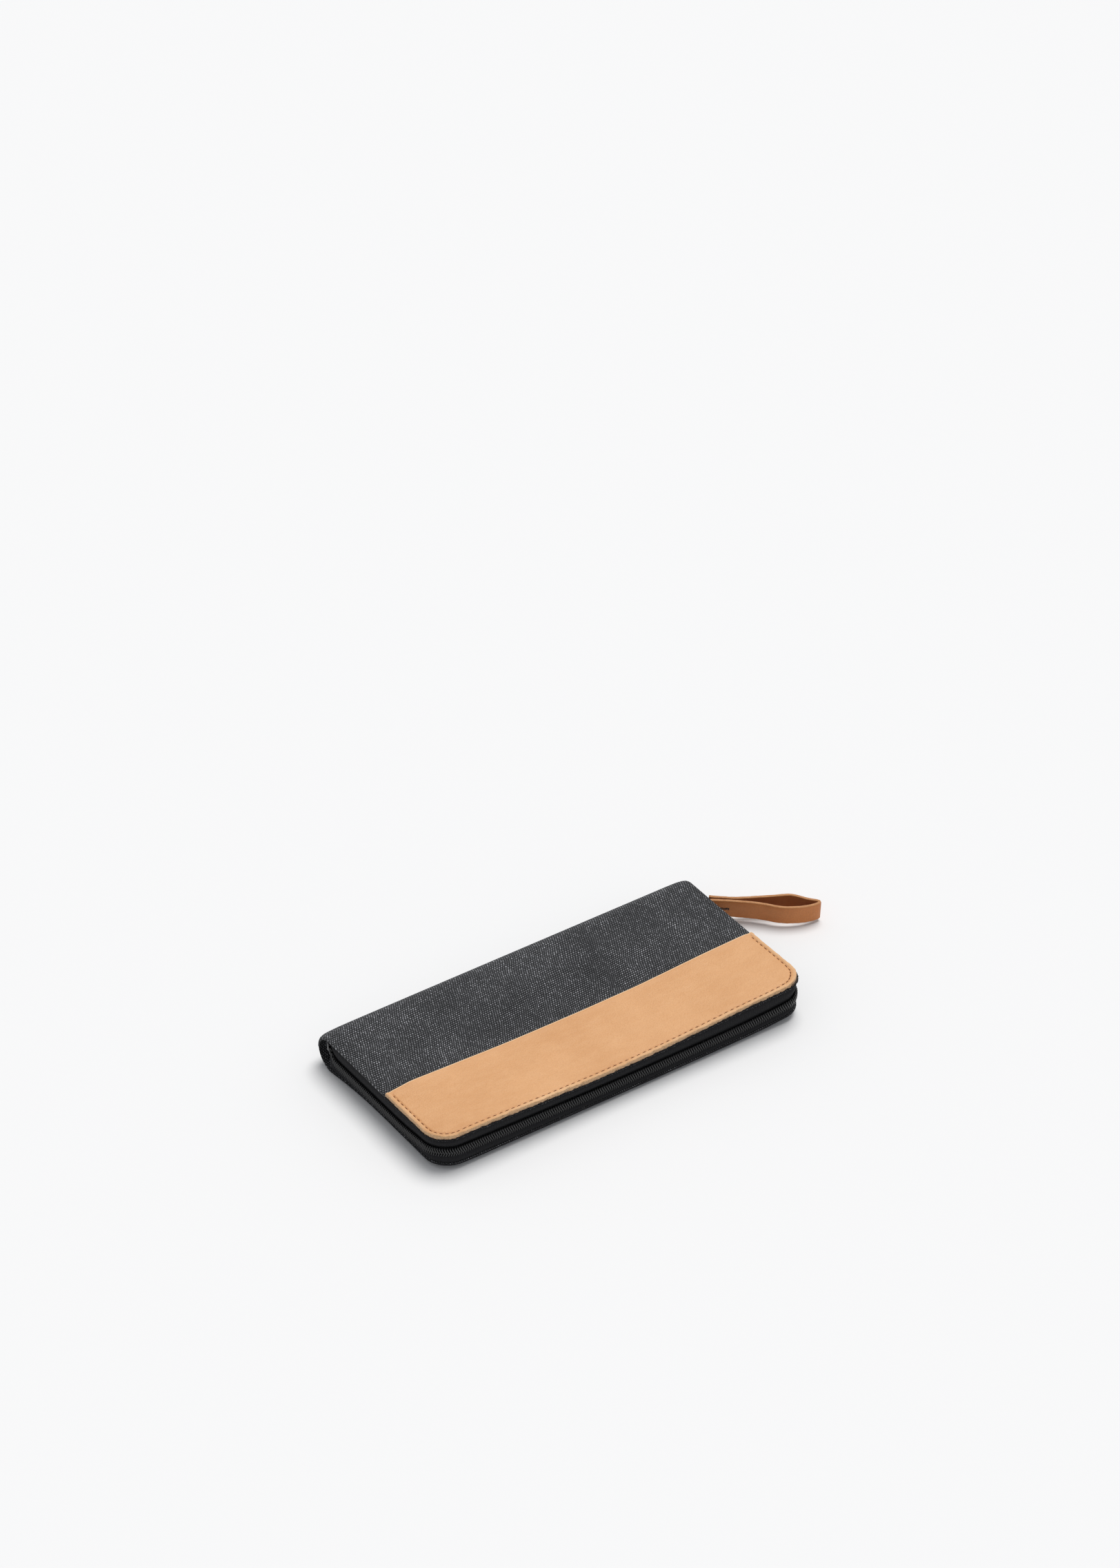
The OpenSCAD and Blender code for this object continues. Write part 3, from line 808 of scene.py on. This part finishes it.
frontTuft = dict(count=900, s0=fray["s0"], s1=fray["s1"], inset=0.0, z=17.4, length=0.6, out=0.5, up=-0.6,
                 width=0.12)
leatherTuft = dict(count=600, s0=fray["s0"], s1=fray["s1"], inset=0.2, z=18.3, length=0.4, out=0.8, up=-0.2,
                   width=0.07)
rearTuft = dict(count=500, s0=0, s1=wallLength, inset=0.1, z=0.5, length=0.5, out=0.7, up=0.0, width=0.06)
frontFibres = fibrePiece("frontFibres", frontTuft, [frayDark, frayCotton], "front_shell")
leatherFuzz = fibrePiece("leatherFuzz", leatherTuft, [rimSuede, rimSuede], "front_shell")
rearFibres = fibrePiece("rearFibres", rearTuft, [frayDark, frayDark], "rear_shell")
print("seams made")


def plainSheet(name, box, z, thickness, rule, material, body, nodes, radius=(10, 7), gap=7.0):
    # A thin flat layer with two rounded front corners, bent by its cover's rule.
    x0, x1, y0, y1 = box
    bm = thicken(blank(x0, x1, y0, y1, z, *radius), thickness, min(0.1, thickness / 4))
    cutAcross(bm, 0, spread(x0, x1, gap))
    folds = foldSteps if y1 > shell["spineY"] else []
    cutAcross(bm, 1, sorted(spread(y0, min(y1, shell["spineY"]), gap) + folds))
    return finishPiece(bent(bm, rule), name, [material], body, nodes)


board = dict(box=(-93.9, 93.9, -45.1, 37.4), thick=1.0, rear=0.95, front=16.2)
rearBoard = plainSheet("rearBoard", board["box"], board["rear"], board["thick"], onRear, boardGrey,
                       "rear_shell", ["rear_stiffener"])
frontBoard = plainSheet("frontBoard", board["box"], board["front"], board["thick"], onFront, boardGrey,
                        "front_shell", ["front_stiffener"])

# The lining's fold is tighter than the canvas's, so its arc is shorter.
lining = dict(half=94.2, front=-45.4, thick=0.4, rear=2.4, top=15.4, arc=10.4)
liningBox = (-lining["half"], lining["half"], lining["front"], foldEnd)
rearLining = plainSheet("rearLining", liningBox, lining["rear"], lining["thick"], onRear, liningCloth,
                        None, [])
frontLining = plainSheet("frontLining", liningBox, lining["top"], lining["thick"], onFront, liningCloth,
                         None, [])
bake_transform(rearLining)
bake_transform(frontLining)
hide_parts("rear_lining", "spine_lining")
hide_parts("front_lining")

pocket = dict(half=88.0, front=-42.0, thick=0.3, hem=7.0, hemThick=0.16, sewn=7.0, layer=0.32,
              rearFloor=2.85, frontFloor=15.05, stitch=(1.8, 0.3, 0.14), stitchGap=2.8)
# Name, node, mouth line, height and side (1 on the back lining, -1 on the front one).
pocketList = [("notePocket", "note_pocket", 33.9, 3.55, 1),
              ("cardPocket1", "card_pocket_1", 29.9, 4.25, 1),
              ("cardPocket2", "card_pocket_2", 17.9, 4.95, 1),
              ("cardPocket3", "card_pocket_3", 5.9, 5.65, 1),
              ("cardPocket4", "card_pocket_4", -6.1, 6.35, 1),
              ("slipPocketDeep", "slip_pocket_deep", 29.9, 14.65, -1),
              ("slipPocketShort", "slip_pocket_short", 4.9, 13.95, -1)]
for level, (name, node, mouth, z, side) in enumerate(pocketList):
    layer = pocket["layer"] * (level if side > 0 else level - 5)
    base = pocket["rearFloor"] + layer if side > 0 else pocket["frontFloor"] - layer

    def sewnDown(v, z=z, base=base, side=side):
        # Side and bottom edges are sewn to the lining; the mouth stands a little open.
        edge = min(pocket["half"] - abs(v.x), v.y - pocket["front"])
        down = (base - z) * (1 - ease(edge / pocket["sewn"]))
        return (onRear if side > 0 else onFront)(Vector((v.x, v.y, v.z + down)))

    body, owner = ("rear_shell", rearLining) if side > 0 else ("front_shell", frontLining)
    piece = plainSheet(name, (-pocket["half"], pocket["half"], pocket["front"], mouth), z, pocket["thick"],
                       sewnDown, pocketCloth, body, [node], (7, 6), 8.0)
    hemZ = z + pocket["thick"] + 0.01 if side > 0 else z - 0.17
    hemEnd, hemLine = pocket["half"] - 0.4, mouth - pocket["hem"]
    hem = plainSheet(name + "Hem", (-hemEnd, hemEnd, hemLine, mouth + 0.2), hemZ, pocket["hemThick"],
                     sewnDown, pocketCloth, body, [], (0, 0), 8.0)
    threadZ = hemZ + 0.17 if side > 0 else hemZ - 0.01
    threadEnd = pocket["half"] - 1
    spots = [(x, hemLine + 0.9, threadZ, 0.0) for x in spread(-threadEnd, threadEnd, pocket["stitchGap"])]
    thread = stitchPiece(name + "Stitches", spots, pocket["stitch"], sewnDown, [darkThread],
                         body, [])
print("inside made")


def addBox(bm, low, high, edge=0.2, segments=2, axis=None):
    # A box with rounded edges; axis picks only the edges that run along it.
    made = bmesh.ops.create_cube(bm, size=1.0)["verts"]
    bmesh.ops.scale(bm, vec=[h - l for l, h in zip(low, high)], verts=made)
    bmesh.ops.translate(bm, vec=[(h + l) / 2 for l, h in zip(low, high)], verts=made)
    edges = list({e for v in made for e in v.link_edges})
    if axis is not None:
        edges = [e for e in edges if abs((e.verts[1].co - e.verts[0].co).normalized()[axis]) > 0.99]
    bmesh.ops.bevel(bm, geom=edges, offset=edge, segments=segments, profile=0.5, affect="EDGES",
                    material=-1)


stop = dict(length=1.5, inset=(0.3, 1.6), edge=0.35)
stopList = [("bottomStop", "bottom_stop", -1.3, 5.4, 9.6, "rear_shell"),
            ("lowerStop", "lower_stop", wallLength + 1.0, 4.4, 6.9, "rear_shell"),
            ("upperStop", "upper_stop", wallLength + 1.0, 8.1, 10.6, "front_shell")]
for name, node, s0, z0, z1, body in stopList:
    bm = bmesh.new()
    addBox(bm, (s0, stop["inset"][0], z0), (s0 + stop["length"], stop["inset"][1], z1), stop["edge"], 3)
    finishPiece(bent(bm, onWall), name, [coilNylon], body, [node])

# Corners of each block, its edge radius, the steps of the edge and the axis that its round edges run along.
sliderBlocks = [((98.3, 29.6, 3.6), (99.2, 39.4, 11.4), 2.6, 5, 0),  # outer plate
                ((94.55, 29.6, 3.6), (95.45, 39.4, 11.4), 2.6, 5, 0),  # inner plate
                ((96.9, 30.6, 3.57), (98.4, 38.4, 4.33), 0.3, 2, None),  # lower flange
                ((96.9, 30.6, 10.67), (98.4, 38.4, 11.43), 0.3, 2, None),  # upper flange
                ((95.4, 36.9, 6.9), (98.4, 38.9, 8.1), 0.4, 2, None),  # wedge between the coils
                ((99.1, 31.8, 6.4), (101.9, 32.8, 8.6), 0.4, 2, None),  # bridge posts
                ((99.1, 36.2, 6.4), (101.9, 37.2, 8.6), 0.4, 2, None),
                ((101.4, 31.8, 6.4), (102.1, 37.2, 8.6), 0.33, 3, None)]  # bridge bar
bm = bmesh.new()
for low, high, edge, segments, axis in sliderBlocks:
    addBox(bm, low, high, edge, segments, axis)
slider = finishPiece(bm, "slider", [sliderEnamel], "slider", ["slider_body"])

strap = dict(angle=math.radians(-37), fall=math.radians(2.1), rise=0.35, half=4.5, thick=1.4, edge=0.22)
pin = dict(at=(100.55, 34.5, 7.5), radius=0.8, length=5.2)
link = dict(eye=1.45, thick=0.9, z=2.1, arm=5.2, armHalf=0.65)
pullFrame = Matrix.Translation(pin["at"]) @ Matrix.Rotation(strap["angle"], 4, "Z")
strapFrame = pullFrame @ Matrix.Translation((0, 0, strap["rise"])) @ Matrix.Rotation(strap["fall"], 4, "Y")
bm = bmesh.new()
bmesh.ops.create_cone(bm, cap_ends=True, segments=20, radius1=pin["radius"], radius2=pin["radius"],
                      depth=pin["length"])
for side in (-1, 1):
    low, high = side * link["z"] - link["thick"] / 2, side * link["z"] + link["thick"] / 2
    bmesh.ops.create_cone(bm, cap_ends=True, segments=24, radius1=link["eye"], radius2=link["eye"],
                          depth=link["thick"], matrix=Matrix.Translation((0, 0, side * link["z"])))
    addBox(bm, (0.2, -link["armHalf"], low), (link["arm"], link["armHalf"], high), 0.25, 2)
addBox(bm, (4.4, -0.38, -2.55), (13.3, 0.38, 2.55), 0.2, 2)  # tongue held between the strap's layers
bmesh.ops.transform(bm, matrix=pullFrame, verts=bm.verts)
puller = finishPiece(bm, "pullerTab", [sliderEnamel], "pull", ["puller"])

# Middle line of the strip in plan, from the link round the loop and back.
strapPath = [(3.05, -1.45), (5.6, -1.2), (10, -1.15), (14.5, -1.12), (21.5, -1.4), (28.3, -2.2), (33, -3.3),
             (36.5, -3.8), (40, -3.7), (45.4, -2.8), (49.7, -1.25), (52.6, 0.5), (53.4, 1.5), (52.9, 2.4),
             (51.7, 2.75), (47.7, 3.5), (44.1, 4.8), (41.3, 5.55), (38.6, 5.6), (32.1, 4.2), (21.6, 2.2),
             (14.5, 1.15), (10, 1.15), (5.6, 1.2), (3.05, 1.45)]


def alongPath(points, t):
    # Catmull-Rom point at t, where whole numbers are the given points.
    i = min(int(t), len(points) - 2)
    f = t - i
    p = [Vector(points[max(0, min(len(points) - 1, i + j))]) for j in (-1, 0, 1, 2)]
    return 0.5 * (2 * p[1] + (p[2] - p[0]) * f + (2 * p[0] - 5 * p[1] + 4 * p[2] - p[3]) * f**2
                  + (3 * p[1] - p[0] - 3 * p[2] + p[3]) * f**3)


# (run along the strip in mm, place in strapPath) at even steps of the path.
strapStations = [(0.0, 0.0)]
for k in range(1, 121):
    u0, u1 = ((len(strapPath) - 1) * i / 120 for i in (k - 1, k))
    piece = (alongPath(strapPath, u1) - alongPath(strapPath, u0)).length
    strapStations.append((strapStations[-1][0] + piece, u1))


def onStrap(v):
    # (run, layer, height) of the straight strip to its place on the loop; its cut edges are a little worn.
    run, layer, height = v
    u, end = through(strapStations, run), len(strapPath) - 1
    spot = alongPath(strapPath, u)
    ahead = alongPath(strapPath, min(u + 0.05, end)) - alongPath(strapPath, max(u - 0.05, 0))
    ahead.normalize()
    wear = 0.1 * noise.noise(Vector((run * 0.8, height, layer))) if abs(height) > strap["half"] - 0.5 else 0
    return Vector((spot.x - ahead.y * layer, spot.y + ahead.x * layer, height + wear))


bm = bmesh.new()
strapRun, layer = strapStations[-1][0], strap["thick"] / 2
addBox(bm, (0, -layer, -strap["half"]), (strapRun, layer, strap["half"]), strap["edge"], 2)
cutAcross(bm, 0, spread(0, strapRun, strapRun / 120))
cutAcross(bm, 2, spread(-strap["half"], strap["half"], strap["half"] / 2))
bm.normal_update()
for f in bm.faces:
    if abs(f.normal.y) > 0.95:
        f.material_index = 0 if f.normal.y < 0 else 2
    else:
        f.material_index = 1
bent(bm, onStrap)
bmesh.ops.transform(bm, matrix=strapFrame, verts=bm.verts)
pullStrap = finishPiece(bm, "pullStrap", [strapLeather, strapEdge, fleshSuede], "pull",
                        ["pull_strap"])

# A bar of crossed stitches joins the two layers next to the link.
tack = dict(x=8.2, gap=0.8, rows=6, out=1.88, lean=0.5, size=(0.4, 0.25, 1.6, 1))
bm = bmesh.new()
rng = random.Random(5)
for face in (-1, 1):
    for row in range(tack["rows"]):
        for lean in (-tack["lean"], tack["lean"]):
            height = rng.uniform(-0.1, 0.1)
            spot = (tack["x"] + row * tack["gap"], face * tack["out"], height)
            place = strapFrame @ Matrix.Translation(spot) @ Matrix.Rotation(lean, 4, "Y")
            place = place @ Matrix.Diagonal(tack["size"])
            bmesh.ops.create_icosphere(bm, subdivisions=1, radius=0.5, matrix=place)
strapTack = finishPiece(bm, "strapTack", [darkThread], "pull", ["strap_tack"])
print("zip hardware made")

scene = bpy.context.scene
floorMesh = bmesh.new()
bmesh.ops.create_grid(floorMesh, x_segments=1, y_segments=1, size=6.0)
floorData = bpy.data.meshes.new("floor")
floorMesh.to_mesh(floorData)
floorMesh.free()
floor = bpy.data.objects.new("floor", floorData)
floor.location.z = -0.15 * mm  # keeps the cloth clear of it
scene.collection.objects.link(floor)
floorPaint, _, floorShader, _ = newMaterial("paleStudioPaper")  # flat white backdrop paper
floorShader.inputs["Base Color"].default_value = toLinear("#f4f4f4")
floorShader.inputs["Roughness"].default_value = 0.95
floorShader.inputs["Specular IOR Level"].default_value = 0.0
floorData.materials.append(floorPaint)

studio = dict(sky=0.45, sun=2.09, sunAngle=38, sunFrom=(0.3, 0.14, 1.0))
world = bpy.data.worlds.new("studio")
world.use_nodes = True
world.node_tree.nodes["Background"].inputs[0].default_value = toLinear("#f5f7fb")
world.node_tree.nodes["Background"].inputs[1].default_value = studio["sky"]
scene.world = world
sun = bpy.data.lights.new("softbox", "SUN")
sun.energy = studio["sun"]
sun.color = (1.0, 0.99, 0.975)
sun.angle = math.radians(studio["sunAngle"])
sunObject = bpy.data.objects.new("softbox", sun)
sunObject.rotation_euler = Vector(studio["sunFrom"]).to_track_quat("Z", "Y").to_euler()
scene.collection.objects.link(sunObject)
scene.view_settings.view_transform = "Standard"

lens = dict(azimuth=-34.71, elevation=36.43, spot=(-1.060, -1.528, 1.512), focal=124.32, sensor=36)
camera = bpy.data.objects.new("camera", bpy.data.cameras.new("camera"))
a, e = math.radians(lens["azimuth"]), math.radians(lens["elevation"])
backward = Vector((math.sin(a) * math.cos(e), -math.cos(a) * math.cos(e), math.sin(e)))
camera.location = lens["spot"]
camera.rotation_euler = (-backward).to_track_quat("-Z", "Y").to_euler()
camera.data.lens = lens["focal"]
camera.data.sensor_width = lens["sensor"]
camera.data.clip_end = 30
scene.collection.objects.link(camera)
scene.camera = camera
print("studio made")
